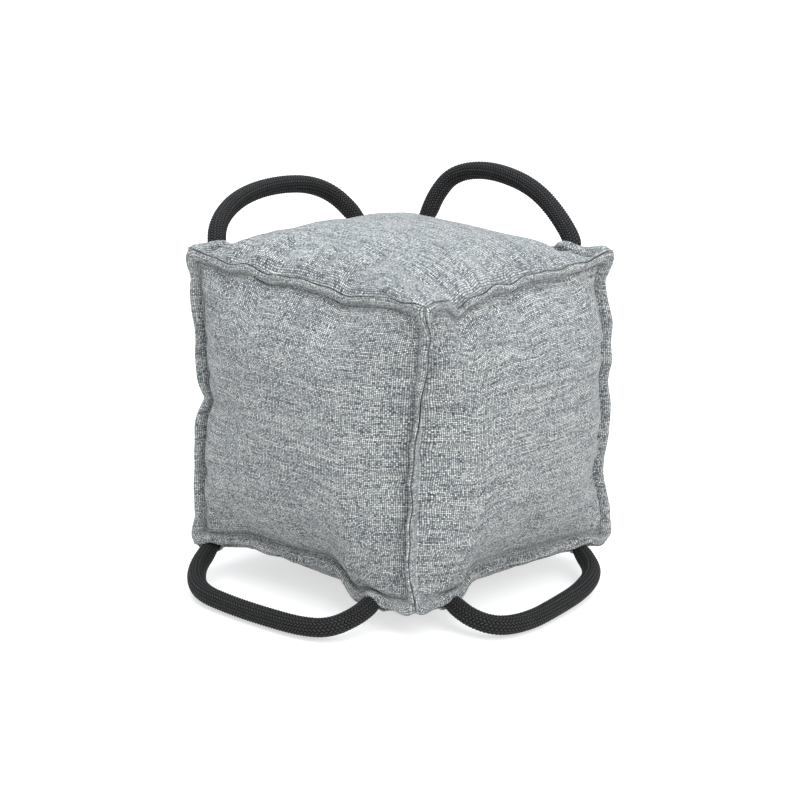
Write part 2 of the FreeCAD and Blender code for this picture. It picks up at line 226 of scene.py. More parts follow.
def tube_quads(index):
    """The quads of a tube, from its table of its points' numbers, a row for each ring."""
    beside = np.roll(index, -1, axis=1)
    return np.stack([index[:-1], beside[:-1], beside[1:], index[1:]], axis=-1).reshape(-1, 4)


def make_mesh(name, points, quads):
    """A mesh object of quads, shaded smooth."""
    mesh = bpy.data.meshes.new(name)
    mesh.from_pydata([], [], [])
    mesh.vertices.add(len(points))
    mesh.vertices.foreach_set("co", np.asarray(points, np.float32).ravel())
    mesh.loops.add(quads.size)
    mesh.loops.foreach_set("vertex_index", quads.astype(np.int32).ravel())
    mesh.polygons.add(len(quads))
    mesh.polygons.foreach_set("loop_start", np.arange(0, quads.size, quads.shape[1], dtype=np.int32))
    mesh.polygons.foreach_set("use_smooth", np.ones(len(quads), bool))
    mesh.update(calc_edges=True)
    mesh.validate()
    thing = bpy.data.objects.new(name, mesh)
    bpy.context.scene.collection.objects.link(thing)
    return thing


def keep_values(thing, name, domain, values):
    """Keeps three numbers at each of a mesh's points or faces, for its material to read."""
    marks = thing.data.attributes.new(name, "FLOAT_VECTOR", domain)
    marks.data.foreach_set("vector", values.astype(np.float32).ravel())


# ---- Camera, lights and floor ----

CAMERA_AZIMUTH = math.radians(41.1)
CAMERA_ELEVATION = math.radians(16.05)
CAMERA_ROLL = math.radians(0.85)
CAMERA_DISTANCE = 1.801
LOOKS_ASIDE = 2 * MM          # how far left of the cube's middle the camera looks
FLOOR_HALF = 12
FLOOR_GLOW = 0.56


def look_at(thing, target):
    """Turns a camera or light, which look down their own -Z, towards a point."""
    direction = Vector(target) - thing.location
    thing.rotation_euler = direction.to_track_quat("-Z", "Y").to_euler()


def add_camera():
    """A long lens a little above the bumper, facing the edge between its front and right sides."""
    aside = Vector((math.cos(CAMERA_AZIMUTH), math.sin(CAMERA_AZIMUTH), 0))
    level = Vector((math.sin(CAMERA_AZIMUTH), -math.cos(CAMERA_AZIMUTH), 0))
    away = level * math.cos(CAMERA_ELEVATION) + Vector((0, 0, math.sin(CAMERA_ELEVATION)))
    target = Vector((0, 0, SEAM_MIDDLE)) - aside * LOOKS_ASIDE
    camera = bpy.data.objects.new("camera", bpy.data.cameras.new("camera"))
    bpy.context.scene.collection.objects.link(camera)
    camera.location = target + away * CAMERA_DISTANCE
    camera.data.lens = 120
    camera.data.sensor_width = 36
    camera.data.clip_start = 0.05
    camera.data.clip_end = 60
    look_at(camera, target)
    camera.rotation_euler.rotate_axis("Z", CAMERA_ROLL)
    bpy.context.scene.camera = camera


def add_light(name, place, size, watts, tint=(1, 1, 1)):
    """A square soft box that looks at the bumper."""
    light = bpy.data.objects.new(name, bpy.data.lights.new(name, "AREA"))
    bpy.context.scene.collection.objects.link(light)
    light.location = place
    light.data.shape = "SQUARE"
    light.data.size = size
    light.data.energy = watts
    light.data.color = tint
    look_at(light, (0, 0, SEAM_MIDDLE))


def add_studio():
    """A white floor, soft boxes above and to either side, and a white surround."""
    corners = FLOOR_HALF * np.array([(-1, -1, 0), (1, -1, 0), (1, 1, 0), (-1, 1, 0)], float)
    floor = make_mesh("floor", corners, np.array([[0, 1, 2, 3]]))
    floor.data.materials.append(floor_material())
    add_light("key", (1.9, -0.7, 1.5), 1.8, 40)
    add_light("top", (-0.1, 0.1, 2.2), 2.4, 68, (0.86, 0.935, 1))
    add_light("fill", (-1.7, -1.8, 0.8), 1.8, 5)
    world = bpy.data.worlds.new("surround")
    bpy.context.scene.world = world
    world.use_nodes = True
    background = world.node_tree.nodes["Background"]
    background.inputs["Color"].default_value = (0.97, 0.985, 1, 1)
    background.inputs["Strength"].default_value = 0.8
    bpy.context.scene.view_settings.view_transform = "Standard"


# ---- Materials ----

class Nodes:
    """A new material's nodes, with short calls for the usual ones."""

    def __init__(self, name):
        self.material = bpy.data.materials.new(name)
        self.material.use_nodes = True
        self.tree = self.material.node_tree
        self.surface = self.tree.nodes["Principled BSDF"]

    def add(self, kind, inputs, **settings):
        """A node of a kind, its inputs set or joined by name or number."""
        node = self.tree.nodes.new(kind)
        for name, value in settings.items():
            setattr(node, name, value)
        for name, value in inputs.items():
            if isinstance(value, bpy.types.NodeSocket):
                self.tree.links.new(value, node.inputs[name])
            else:
                node.inputs[name].default_value = value
        return node

    def math(self, operation, *values):
        """The result of a math node."""
        return self.add("ShaderNodeMath", dict(enumerate(values)), operation=operation).outputs[0]

    def noise(self, place, scale, detail=2.0, roughness=0.5):
        """A noise between 0 and 1 at a place, which is a vector."""
        inputs = {"Vector": place, "Scale": scale, "Detail": detail, "Roughness": roughness}
        return self.add("ShaderNodeTexNoise", inputs).outputs["Fac"]

    def joined(self, x, y, z):
        """A vector of three numbers."""
        return self.add("ShaderNodeCombineXYZ", {"X": x, "Y": y, "Z": z}).outputs[0]

    def attribute(self, name):
        """The three numbers that a mesh keeps at each point or corner under a name."""
        vector_out = self.add("ShaderNodeAttribute", {}, attribute_name=name).outputs["Vector"]
        split = self.add("ShaderNodeSeparateXYZ", {"Vector": vector_out})
        return [split.outputs[axis] for axis in "XYZ"]

    def spread(self, value, low, high, to_low, to_high):
        """A value's range stretched onto another, and kept inside it."""
        inputs = {"Value": value, "From Min": low, "From Max": high, "To Min": to_low, "To Max": to_high}
        return self.add("ShaderNodeMapRange", inputs).outputs["Result"]

    def dimmed(self, colour, share):
        """A colour multiplied by a number."""
        inputs = {0: 1.0, 6: colour, 7: self.joined(share, share, share)}
        return self.add("ShaderNodeMix", inputs, data_type="RGBA", blend_type="MULTIPLY").outputs[2]

    def ramp(self, value, stops):
        """A colour ramp, its stops given as (place, colour)."""
        node = self.add("ShaderNodeValToRGB", {"Fac": value})
        elements = node.color_ramp.elements
        for element, (place, colour) in zip(elements, (stops[0], stops[-1])):
            element.position = place
            element.color = (*colour, 1)
        for place, colour in stops[1:-1]:
            elements.new(place).color = (*colour, 1)
        return node.outputs["Color"]

    def finish(self, colour, roughness, height=None, distance=0.0003, strength=0.6, **others):
        """Joins the colour, roughness and height to the surface, and sets its other inputs."""
        inputs = {"Base Color": colour, "Roughness": roughness, **others}
        if height is not None:
            bump = self.add("ShaderNodeBump", {"Height": height, "Distance": distance, "Strength": strength})
            inputs["Normal"] = bump.outputs["Normal"]
        for name, value in inputs.items():
            socket = self.surface.inputs[name.replace("_", " ")]
            if isinstance(value, bpy.types.NodeSocket):
                self.tree.links.new(value, socket)
            else:
                socket.default_value = value
        return self.material


def floor_material():
    """White matt acrylic, lit a little from below."""
    nodes = Nodes("white_floor")
    place = nodes.add("ShaderNodeTexCoord", {}).outputs["Object"]
    grain = nodes.noise(place, 900.0)
    colour = nodes.ramp(grain, [(0.3, (0.54, 0.54, 0.54)), (0.7, (0.56, 0.56, 0.56))])
    return nodes.finish(colour, 0.9, grain, distance=0.0001, strength=0.1,
                        Emission_Color=(1, 1, 1, 1), Emission_Strength=FLOOR_GLOW)


WARP_PITCH = 1.3 * MM
WEFT_PITCH = 1.05 * MM
YARN_FLECKS = 750.0           # flecks of light and dark to the metre of yarn
YARN_WANDER = 1.6             # how far a yarn wanders, in widths
FUZZ_SCALE = 3200.0


def yarn_shade(nodes, lane, along, seed, slubs, share):
    """The melange of one set of yarns, around 0.5: each has its own run of light and dark wool, with so many
    slubs to the metre, which make up a share of its contrast."""
    lane_place = nodes.math("MULTIPLY_ADD", lane, 2.0, 0.5)
    slub = nodes.noise(nodes.joined(lane_place, nodes.math("MULTIPLY", along, slubs), seed), 1.0, 1.0)
    fleck = nodes.noise(nodes.joined(lane_place, nodes.math("MULTIPLY", along, YARN_FLECKS), seed), 1.0, 1.0)
    return nodes.math("ADD", nodes.math("MULTIPLY", slub, share), nodes.math("MULTIPLY", fleck, 1 - share))


def cloth_material():
    """Coarse plain-woven melange cloth: yarns one over another, slubby, in light and dark greys, with painted
    shade darkening the colour in the gaps between the yarns.
    """
    nodes = Nodes("melange_cloth")
    across, up, seed = nodes.attribute("cut")
    # the yarns wander a little
    wander = nodes.noise(nodes.joined(across, up, seed), 70.0, 1.0)
    wander = nodes.math("MULTIPLY", nodes.math("SUBTRACT", wander, 0.5), YARN_WANDER)
    warp_place = nodes.math("MULTIPLY_ADD", across, 1 / WARP_PITCH, wander)
    weft_place = nodes.math("MULTIPLY_ADD", up, 1 / WEFT_PITCH, wander)
    warp_lane = nodes.math("FLOOR", warp_place)
    weft_lane = nodes.math("FLOOR", weft_place)
    warp_arch = nodes.math("SINE", nodes.math("MULTIPLY", nodes.math("FRACT", warp_place), math.pi))
    weft_arch = nodes.math("SINE", nodes.math("MULTIPLY", nodes.math("FRACT", weft_place), math.pi))
    warp_over = nodes.math("PINGPONG", nodes.math("ADD", warp_lane, weft_lane), 1.0)
    weft_over = nodes.math("SUBTRACT", 1.0, warp_over)
    # the yarn on top stands highest at the middle of its float
    warp_height = nodes.math("MULTIPLY", warp_over, nodes.math(
        "MULTIPLY", warp_arch, nodes.math("MULTIPLY_ADD", weft_arch, 0.5, 0.5)))
    weft_height = nodes.math("MULTIPLY", weft_over, nodes.math(
        "MULTIPLY", weft_arch, nodes.math("MULTIPLY_ADD", warp_arch, 0.5, 0.5)))
    weave = nodes.math("ADD", warp_height, weft_height)
    warp_shade = yarn_shade(nodes, warp_lane, up, nodes.math("MULTIPLY_ADD", seed, 7.3, 11.4), 60.0, 0.18)
    weft_shade = yarn_shade(nodes, weft_lane, across, nodes.math("MULTIPLY_ADD", seed, 5.7, 47.6), 45.0, 0.55)
    shade = nodes.math("ADD", nodes.math("MULTIPLY", warp_shade, warp_over),
                       nodes.math("MULTIPLY", weft_shade, weft_over))
    yarn = nodes.ramp(shade, [(0.34, (0.07, 0.079, 0.095)), (0.45, (0.225, 0.24, 0.252)),
                              (0.53, (0.37, 0.388, 0.384)), (0.66, (0.64, 0.655, 0.62))])
    # painted shade: the yarns' colour is darkened where the weave is low, in the gaps between them, and
    # lifted a little on the tops of the floats
    gap = nodes.spread(weave, 0.15, 0.9, 0.1, 1.22)
    colour = nodes.dimmed(yarn, gap)
    fuzz = nodes.noise(nodes.joined(across, up, seed), FUZZ_SCALE, 2.0)
    height = nodes.math("MULTIPLY_ADD", fuzz, 0.25, weave)
    return nodes.finish(colour, 0.92, height, distance=0.00035, strength=0.8,
                        Sheen_Weight=0.12, Sheen_Roughness=0.6, Specular_IOR_Level=0.2)


FILAMENTS = 9.0               # across a strand of the rope
FILAMENT_RUNS = 260.0         # and how many times to the metre one changes its shade


def rope_material():
    """Black filament strands, shinier where they stand out and dull between, their colour painted darker down
    into the hollows between them as shade, so that their tops stand lighter as painted highlights.
    """
    nodes = Nodes("black_braid")
    cross, along, strand = nodes.attribute("strand")
    filament_place = nodes.joined(nodes.math("MULTIPLY", cross, FILAMENTS),
                                  nodes.math("MULTIPLY", along, FILAMENT_RUNS), strand)
    filament = nodes.noise(filament_place, 1.0, 2.0)
    tone = nodes.noise(nodes.joined(strand, nodes.math("MULTIPLY", along, 60.0), 3.0), 1.0, 1.0)
    shade = nodes.math("ADD", nodes.math("MULTIPLY", filament, 0.6), nodes.math("MULTIPLY", tone, 0.4))
    colour = nodes.ramp(shade, [(0.25, (0.02, 0.02, 0.02)), (0.55, (0.036, 0.036, 0.036)),
                                (0.8, (0.07, 0.07, 0.07))])
    # painted shade and highlight: the colour is darkened almost to black where the braid's relief is low,
    # between the strands, and kept full on their tops
    relief = nodes.attribute("relief")[0]
    colour = nodes.dimmed(colour, nodes.spread(relief, 0.45, 1.0, 0.01, 1.0))
    roughness = nodes.math("MULTIPLY_ADD", filament, 0.12, nodes.spread(relief, 0.4, 1.0, 0.8, 0.35))
    return nodes.finish(colour, roughness, filament, distance=0.00015, strength=0.7,
                        Sheen_Weight=0.01, Sheen_Roughness=0.4, Specular_IOR_Level=0.14)


def fibre_material(name, light, dark, scale):
    """Matt fibres, mottled between two colours, for the thread and the stuffing."""
    nodes = Nodes(name)
    place = nodes.add("ShaderNodeTexCoord", {}).outputs["Object"]
    mottle = nodes.noise(place, scale, 3.0)
    colour = nodes.ramp(mottle, [(0.3, dark), (0.7, light)])
    return nodes.finish(colour, 0.85, mottle, distance=0.0002, strength=0.5,
                        Sheen_Weight=0.2, Specular_IOR_Level=0.25)


# ---- The rope handles ----

STRANDS = 18                  # strands of the braid that turn each way
BRAID_PITCH = 2.3 * MM        # along the rope, from one strand to the next
STRAND_RISE = 1.2 * MM        # how far a strand stands out over the one that it crosses
AROUND = 108                  # points round the rope
ROPE_STEP = 0.33 * MM         # from one ring of points to the next
ROPE_PROUD = 0.15 * MM        # how far the strands' tops stand out from the rope's own radius
SQUEEZE = 0.36                # the share of its thickness that a rope loses between the hems
SQUEEZE_FROM = 6 * MM         # outside the flange's tip
SQUEEZE_REACH = 12 * MM


def handle_frame(name):
    """The middle of a handle's hinge line, the flange's way out there, and its loop's way out."""
    _, _, side, lean, _ = HANDLES[name]
    joint = next(joint for joint in frame["joints"] if joint["child"] == f"{name}_handle")
    middle = vector(*joint["pos_m"])
    up = 1 if middle[2] > SEAM_MIDDLE else -1
    flange = (side + vector(0, 0, up)) / math.sqrt(2)
    loop = side * math.sin(math.radians(lean)) + vector(0, 0, up * math.cos(math.radians(lean)))
    return middle, flange, loop


def rope_line(name):
    """Points along the middle of a handle's rope, read from the smooth spline of its route."""
    _, along, _, _, route = HANDLES[name]
    middle, flange, loop = handle_frame(name)
    places = [middle + along * x + loop * y for x, y in route]
    stub = flange * ROPE_STUB
    places = [places[0] - stub, places[0] - stub / 2] + places + [places[-1] - stub / 2, places[-1] - stub]
    curve = bpy.data.curves.new(f"{name}_route", "CURVE")
    curve.dimensions = "3D"
    curve.resolution_u = 24
    line = curve.splines.new("NURBS")
    line.points.add(len(places) - 1)
    for point, place in zip(line.points, places):
        point.co = (*place, 1)
    line.order_u = 3
    line.use_endpoint_u = True
    thing = bpy.data.objects.new(f"{name}_route", curve)
    bpy.context.scene.collection.objects.link(thing)
    bpy.context.view_layer.update()
    mesh = bpy.data.meshes.new_from_object(thing)
    points = np.array([vertex.co for vertex in mesh.vertices], float)
    bpy.data.objects.remove(thing)
    bpy.data.meshes.remove(mesh)
    return points


def evenly(points, step):
    """A line's points, respaced evenly at about a step apart, and how far along each one is."""
    run = np.concatenate([[0], np.cumsum(np.linalg.norm(np.diff(points, axis=0), axis=1))])
    distance = np.linspace(0, run[-1], max(2, round(run[-1] / step)) + 1)
    return np.stack([np.interp(distance, run, points[:, axis]) for axis in range(3)], axis=1), distance


def line_axes(points):
    """Two sideways axes at each of a line's points, turned as little as possible along it."""
    tangents = unit(np.gradient(points, axis=0))
    firsts = [unit(np.cross(tangents[0], vector(0.3, 0.5, 0.8)))]
    for tangent in tangents[1:]:
        firsts.append(unit(firsts[-1] - tangent * (firsts[-1] @ tangent)))
    firsts = np.array(firsts)
    return firsts, np.cross(tangents, firsts)


def braid(turns, runs):
    """The braid's height, place across its strand and strand number, at turns round and runs along it."""
    first = turns * STRANDS + runs
    second = turns * STRANDS - runs
    # each strand goes over two of the others and under two, so that the floats stand in columns
    step = np.mod(np.floor(first) + np.floor(second), 4)
    on_top = step < 2
    cross = np.where(on_top, first, second)
    cross = cross - np.floor(cross)
    float_place = np.where(on_top, step + np.mod(second, 1), step - 2 + np.mod(first, 1)) / 2
    arch = np.sqrt(np.clip(1 - (2 * cross - 1)**2, 0, 1))
    height = arch * (0.35 + 0.65 * np.sqrt(np.sin(float_place * math.pi)))
    strand = np.where(on_top, np.mod(np.floor(first), STRANDS), STRANDS + np.mod(np.floor(second), STRANDS))
    return height, cross, strand


def make_rope(name):
    """One braided rope handle, from inside the seam round its loop and back in."""
    _, along, _, _, route = HANDLES[name]
    line = rope_line(name)
    points, distance = evenly(line, ROPE_STEP)
    first, second = line_axes(points)
    turns = np.arange(AROUND) / AROUND
    grid_turns, grid_runs = np.meshgrid(turns, distance / BRAID_PITCH)
    height, _, _ = braid(grid_turns, grid_runs)
    radius = ROPE_DIAMETER / 2 + ROPE_PROUD + STRAND_RISE * (height - 1)
    angle = 2 * math.pi * turns
    around = np.cos(angle)[None, :, None] * first[:, None] + np.sin(angle)[None, :, None] * second[:, None]
    # the stitches squeeze the rope flat between the hems, from a little outside the flange's tip inward
    middle, flange, loop = handle_frame(name)
    across = np.cross(along, flange)
    outside = (points - middle) @ flange
    squeeze = SQUEEZE * smooth_step((SQUEEZE_FROM - outside) / SQUEEZE_REACH)
    offsets = around * radius[:, :, None]
    offsets -= ((offsets @ across) * squeeze[:, None])[..., None] * across
    mesh_points = (points[:, None] + offsets).reshape(-1, 3)
    index = np.arange(len(mesh_points)).reshape(len(points), AROUND)
    rope = make_mesh(f"{name}_handle_rope", mesh_points, tube_quads(index))
    # the place across and along its strand, kept at each quad's middle so that strands never mix
    quad_turns = (np.arange(AROUND) + 0.5)[None, :] / AROUND + np.zeros((len(points) - 1, 1))
    quad_runs = ((distance[:-1] + distance[1:]) / 2 / BRAID_PITCH)[:, None] + np.zeros((1, AROUND))
    _, cross, strand = braid(quad_turns, quad_runs)
    keep_values(rope, "strand", "FACE", np.stack([cross, quad_runs * BRAID_PITCH, strand], axis=-1))
    keep_values(rope, "relief", "POINT", np.repeat(height.ravel(), 3))
    rope.data.materials.append(ROPE_BLACK)
    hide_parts(f"{name}_handle_sheath", f"{name}_handle_core", f"{name}_rope_end_1",
                f"{name}_rope_end_2")
    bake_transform(rope)


# ---- The seams ----

SEAM_WAVE = 0.35              # the small waves of a seam's line and of its flange's lean, in mm
LEAN_WAVE = 0.8
HEIGHT_WAVE = 0.07            # and of its flange's height, as a share of it


class Seam:
    """One of the twelve seams, with the shape that it has been pulled into."""

    def __init__(self, name):
        first, second = name.split("_")
        self.name = name
        self.panels = (first, second)
        self.normals = (PANELS[first][0], PANELS[second][0])
        self.along, self.leans, self.clear, self.softness, self.pulls = SEAMS[name]
        self.seed = list(SEAMS).index(name)

    def share(self, points):
        """How far along the seam each point is, from 0 to 1."""
        low, high = self.reach()
        return np.clip((points @ self.along - low) / (high - low), 0, 1)

    def reach(self):
        """Where the seam starts and ends along its own direction."""
        if self.along[2]:
            return SEAM_LOW, SEAM_HIGH
        return -SEAM_HALF, SEAM_HALF

    def offset(self, share):
        """The displacement of the seam from its straight line."""
        places, first, second = zip(*self.pulls)
        fade = fade_to_ends(share, 8)
        moves = []
        for number, pulls in enumerate((first, second)):
            wave = SEAM_WAVE * ripple(self.seed * 2 + number, share, 4, 9) * fade
            moves.append((spline(places, pulls, share) + wave) * MM)
        raised = (1 - self.clear) * FLANGE / math.sqrt(2) * fade
        return (moves[0] + raised)[:, None] * self.normals[0] + (moves[1] + raised)[:, None] * self.normals[1]

    def lean(self, share):
        """How far the flange's tip leans towards its first panel."""
        steady = np.interp(share, (0, 0.5, 1), self.leans)
        return (steady + LEAN_WAVE * ripple(self.seed + 50, share, 3, 8)) * MM * fade_to_ends(share, 9)

    def height(self, share):
        """The flange's height, as a share of its usual one."""
        wave = HEIGHT_WAVE * ripple(self.seed + 90, share, 3, 8)
        return 1 - (1 - self.clear) * fade_to_ends(share, 8) + wave


ALL_SEAMS = [Seam(name) for name in SEAMS]


def panel_plane(name, cells):
    """The flat grid of a panel, cells + 1 points each way, in its seams' plane."""
    outward, right, up = PANELS[name]
    if abs(outward[2]):
        centre = vector(0, 0, SEAM_HIGH if outward[2] > 0 else SEAM_LOW)
        half_up = SEAM_HALF
    else:
        centre = outward * SEAM_HALF + vector(0, 0, SEAM_MIDDLE)
        half_up = (SEAM_HIGH - SEAM_LOW) / 2
    across = np.linspace(-1, 1, cells + 1)
    return (centre + (across * SEAM_HALF)[:, None, None] * right + (across * half_up)[None, :, None] * up)


def panel_sides(name):
    """A panel's four seams and its own directions out to them, in the order below, right, above, left."""
    _, right, up = PANELS[name]
    sides = []
    for direction in (-up, right, up, -right):
        other = next(other for other, (normal, _, _) in PANELS.items() if normal @ direction > 0.5)
        sides.append((next(seam for seam in ALL_SEAMS if set(seam.panels) == {name, other}), direction))
    return sides


def border_sides(name, loop_flat):
    """For each side of a panel: its seam, its direction, its slice of the border, and its seam shares."""
    per_side = len(loop_flat) // 4
    for side, (seam, direction) in enumerate(panel_sides(name)):
        mine = slice(side * per_side, (side + 1) * per_side)
        yield seam, direction, mine, seam.share(loop_flat[mine])


def corner_shift(points):
    """How far each point is moved by the corners' pulls, which fade evenly from corner to corner."""
    half = vector(SEAM_HALF, SEAM_HALF, (SEAM_HIGH - SEAM_LOW) / 2)
    place = np.clip((points - vector(0, 0, SEAM_MIDDLE)) / half, -1, 1)
    moved = np.zeros_like(points)
    for corner, pull in CORNER_PULLS.items():
        near = np.prod((1 + place * vector(*corner)) / 2, axis=-1)
        moved += near[..., None] * vector(*pull) * MM
    return moved


# how far in mm each panel's middle stands proud, how fast it rises from its seams (a small power rises at
# once), and how much further its right and upper parts stand out than its middle
BULGES = {
    "front": (24, 0.55, 0),
    "right": (24, 0.55, 0),
    "back": (24, 0.6, 0),
    "left": (24, 0.6, 0),
    "top": (24.5, 0.45, -3),
    "bottom": (30, 0.6, 0),
}


def started_panel(name):
    """A panel's grid before the simulation: its seams pulled into shape and its middle bulged out."""
    grid = panel_plane(name, CELLS)
    edges = (grid[:, 0], grid[-1, :], grid[:, -1], grid[0, :])
    below, right, above, left = (
        seam.offset(seam.share(edge)) for (seam, _), edge in zip(panel_sides(name), edges))
    place = np.linspace(0, 1, CELLS + 1)
    x = place[:, None, None]
    y = place[None, :, None]
    # a seam's pull fades towards the middle of the panel
    moved = (below[:, None] * (1 - y)**2 + above[:, None] * y**2
             + left[None, :] * (1 - x)**2 + right[None, :] * x**2)
    crown, power, tilt = BULGES[name]
    swell = (16 * x * (1 - x) * y * (1 - y)) ** power
    height = crown + tilt * (2 * x - 1) + tilt * (2 * y - 1)
    return grid + corner_shift(grid) + moved + PANELS[name][0] * (height * swell * MM)


# ---- The cover's shape, by cloth simulation ----

SLACK = 0.024                 # how much longer the cloth is than the shape that it starts in
SIM_FRAMES = 20
MOST_MOVE = 9 * MM            # no point may move further than this from where it started


def weld(grids):
    """The panels' grids as one closed surface: points, quads, and each grid's indices into the points."""
    points = []
    known = {}
    indices = {}
    for name, grid in grids.items():
        flat = panel_plane(name, CELLS)
        index = np.empty(grid.shape[:2], int)
        for i in range(CELLS + 1):
            for j in range(CELLS + 1):
                key = tuple(np.round(flat[i, j] / (0.001 * MM)).astype(int))
                if key not in known:
                    known[key] = len(points)
                    points.append(grid[i, j])
                index[i, j] = known[key]
        indices[name] = index
    quads = [grid_quads(index) for index in indices.values()]
    return np.array(points), np.concatenate(quads), indices


def simulate(points, quads, pinned):
    """The closed cover's points after its cloth has been blown up between its seams."""
    cover = make_mesh("cover_simulation", points, quads)
    group = cover.vertex_groups.new(name="seams")
    group.add([int(i) for i in pinned], 1.0, "REPLACE")
    cloth = cover.modifiers.new("cloth", "CLOTH")
    settings = cloth.settings
    settings.quality = 8
    settings.mass = 0.15
    settings.tension_stiffness = 15
    settings.compression_stiffness = 9
    settings.shear_stiffness = 3
    settings.bending_stiffness = 0.5
    settings.tension_damping = 5
    settings.compression_damping = 5
    settings.shear_damping = 5
    settings.shrink_min = -SLACK
    settings.use_pressure = True
    settings.uniform_pressure_force = 30
    settings.effector_weights.gravity = 0
    settings.vertex_group_mass = "seams"
    settings.pin_stiffness = 50
    cloth.collision_settings.use_collision = False
    cloth.point_cache.frame_start = 1
    cloth.point_cache.frame_end = SIM_FRAMES
    scene = bpy.context.scene
    for number in range(1, SIM_FRAMES + 1):
        scene.frame_set(number)
    shape = cover.evaluated_get(bpy.context.evaluated_depsgraph_get()).to_mesh()
    result = np.empty(len(points) * 3, np.float32)
    shape.vertices.foreach_get("co", result)
    scene.frame_set(1)
    bpy.data.objects.remove(cover, do_unlink=True)
    return result.reshape(-1, 3).astype(float)


def shaped_cover():
    """Each panel's grid of points, after the simulation."""
    grids = {name: started_panel(name) for name in PANELS}
    points, quads, indices = weld(grids)
    pinned = set()
    for index in indices.values():
        pinned.update(index[0].tolist() + index[-1].tolist() + index[:, 0].tolist() + index[:, -1].tolist())
    move = simulate(points, quads, sorted(pinned)) - points
    far = np.linalg.norm(move, axis=1, keepdims=True)
    points = points + move * (MOST_MOVE * np.tanh(far / MOST_MOVE) / np.maximum(far, 1e-9))
    return {name: points[index] for name, index in indices.items()}


def finer_weights(cells, parts):
    """The matrix that reads a smooth curve through cells + 1 points at parts places in each cell."""
    count = cells * parts + 1
    at = np.arange(count) / parts
    index = np.clip(at.astype(int), 0, cells - 1)
    x = at - index
    weights = np.zeros((count, cells + 1))
    cubic = {
        -1: (-x**3 + 2 * x**2 - x) / 2,
        0: (3 * x**3 - 5 * x**2 + 2) / 2,
        1: (-3 * x**3 + 4 * x**2 + x) / 2,
        2: (x**3 - x**2) / 2,
    }
    rows = np.arange(count)
    for step, share in cubic.items():
        column = index + step
        # beyond the ends the curve runs on straight: p[-1] = 2 p[0] - p[1]
        before = column < 0
        beyond = column > cells
        inside = ~before & ~beyond
        np.add.at(weights, (rows[inside], column[inside]), share[inside])
        for outside, end, inner in ((before, 0, 1), (beyond, cells, cells - 1)):
            np.add.at(weights, (rows[outside], np.full(outside.sum(), end)), 2 * share[outside])
            np.add.at(weights, (rows[outside], np.full(outside.sum(), inner)), -share[outside])
    return weights


# ---- The panels and their flanges ----

# the section of one folded hem, in mm: (out from the seam, away from the flange's middle plane)
HEM_SECTION = [(-1.2, 1.5), (-0.3, 1.9), (0.9, 2.5), (2.2, 3.1), (3.8, 3.5), (5.4, 3.5), (6.8, 3.1),
               (7.8, 2.3), (8.3, 1.6), (8.2, 1.0), (7.7, 0.65), (6.6, 0.45), (4.0, 0.2), (0.0, 0.1),
               (-3.0, 0.1)]
HEM_STEPS = 2                 # rings for each step of the section
FLOOR_GAP = 0.2 * MM          # no cloth comes nearer to the floor than this
FOLD_STARTS = 6               # the point of the section from which it turns into the slit
FLAT_HEM_LOSS = 0.72          # the share of its thickness that a hem pressed flat has lost
LEAN_POWER = 1.3              # how the lean grows up the flange
ROPE_FLAT = 4.6 * MM          # how far each hem stands off its rope's middle, where the rope is squeezed flat
ROPE_GAPE = 0.62              # how far along the seam it does, in rope diameters
CORNER_REACH = 13 * MM        # how near a corner the flange turns into its ear
EAR_SPREAD = 7.5 * MM
EAR_ROUNDING = 0.48           # how much of the flange's height is rounded off at the very corner
CORNER_DIP = 0.12             # the slight dip in the flange's height before its ear
DIP_PLACE = 14 * MM
DIP_SPREAD = 5 * MM
SLIT_SHUT = 0.92              # how far a corner's stitches draw the slit shut


def rope_exits(seam):
    """The places along a seam where a rope comes out, in metres along its direction."""
    for seam_name, _, _, _, route in HANDLES.values():
        if seam_name == seam.name:
            return [route[0][0], route[-1][0]]
    return []


def border_loop(size):
    """The indices of a square grid's border, once round from its first corner."""
    last = size - 1
    run = np.arange(last)
    i = np.concatenate([run, np.full(last, last), last - run, np.zeros(last, int)])
    j = np.concatenate([np.zeros(last, int), run, np.full(last, last), last - run])
    return i, j


def border_facts(name, loop_flat):
    """For each border point of a panel: its direction in the panel's plane, its hem's lean, height and
    thickness, how far the hem stands off a rope, and how much of its slit a corner's stitches draw shut."""
    outward = PANELS[name][0]
    out = np.zeros_like(loop_flat)
    lean = np.zeros(len(loop_flat))
    height = np.ones(len(loop_flat))
    gape = np.zeros(len(loop_flat))
    thickness = np.ones(len(loop_flat))
    shut = np.zeros(len(loop_flat))
    for seam, direction, mine, share in border_sides(name, loop_flat):
        sign = 1 if seam.panels[0] == name else -1
        lean[mine] = sign * seam.lean(share)
        height[mine] = seam.height(share)
        out[mine] += direction
        if FLAT_HEMS.get(seam.name, NO_HEM)[0] == name:
            thickness[mine] = 1 - FLAT_HEM_LOSS * fade_to_ends(share, 9)
        place = loop_flat[mine] @ seam.along
        for exit_place in rope_exits(seam):
            gape[mine] += ROPE_FLAT * np.exp(-((place - exit_place) / (ROPE_DIAMETER * ROPE_GAPE))**4)
        # towards each corner the flange turns over the next side, in a round ear with a slight dip before it
        low, high = seam.reach()
        for end, forward in ((low, -1), (high, 1)):
            distance = np.abs(place - end)
            near = smooth_step(1 - distance / CORNER_REACH)
            corner = tuple(np.sign(direction + outward + forward * seam.along).astype(int))
            ear = LONG_EARS.get(corner, SHORT_EAR)
            out[mine] += (near * forward)[:, None] * seam.along
            height[mine] += ear * np.exp(-(distance / EAR_SPREAD)**2) - EAR_ROUNDING * near**4
            thickness[mine] += (0.25 + ear) * near**2
            height[mine] -= CORNER_DIP * np.exp(-((distance - DIP_PLACE) / DIP_SPREAD)**2)
            lean[mine] *= 1 - near
            shut[mine] += near
    return out, lean, height, thickness, gape, shut


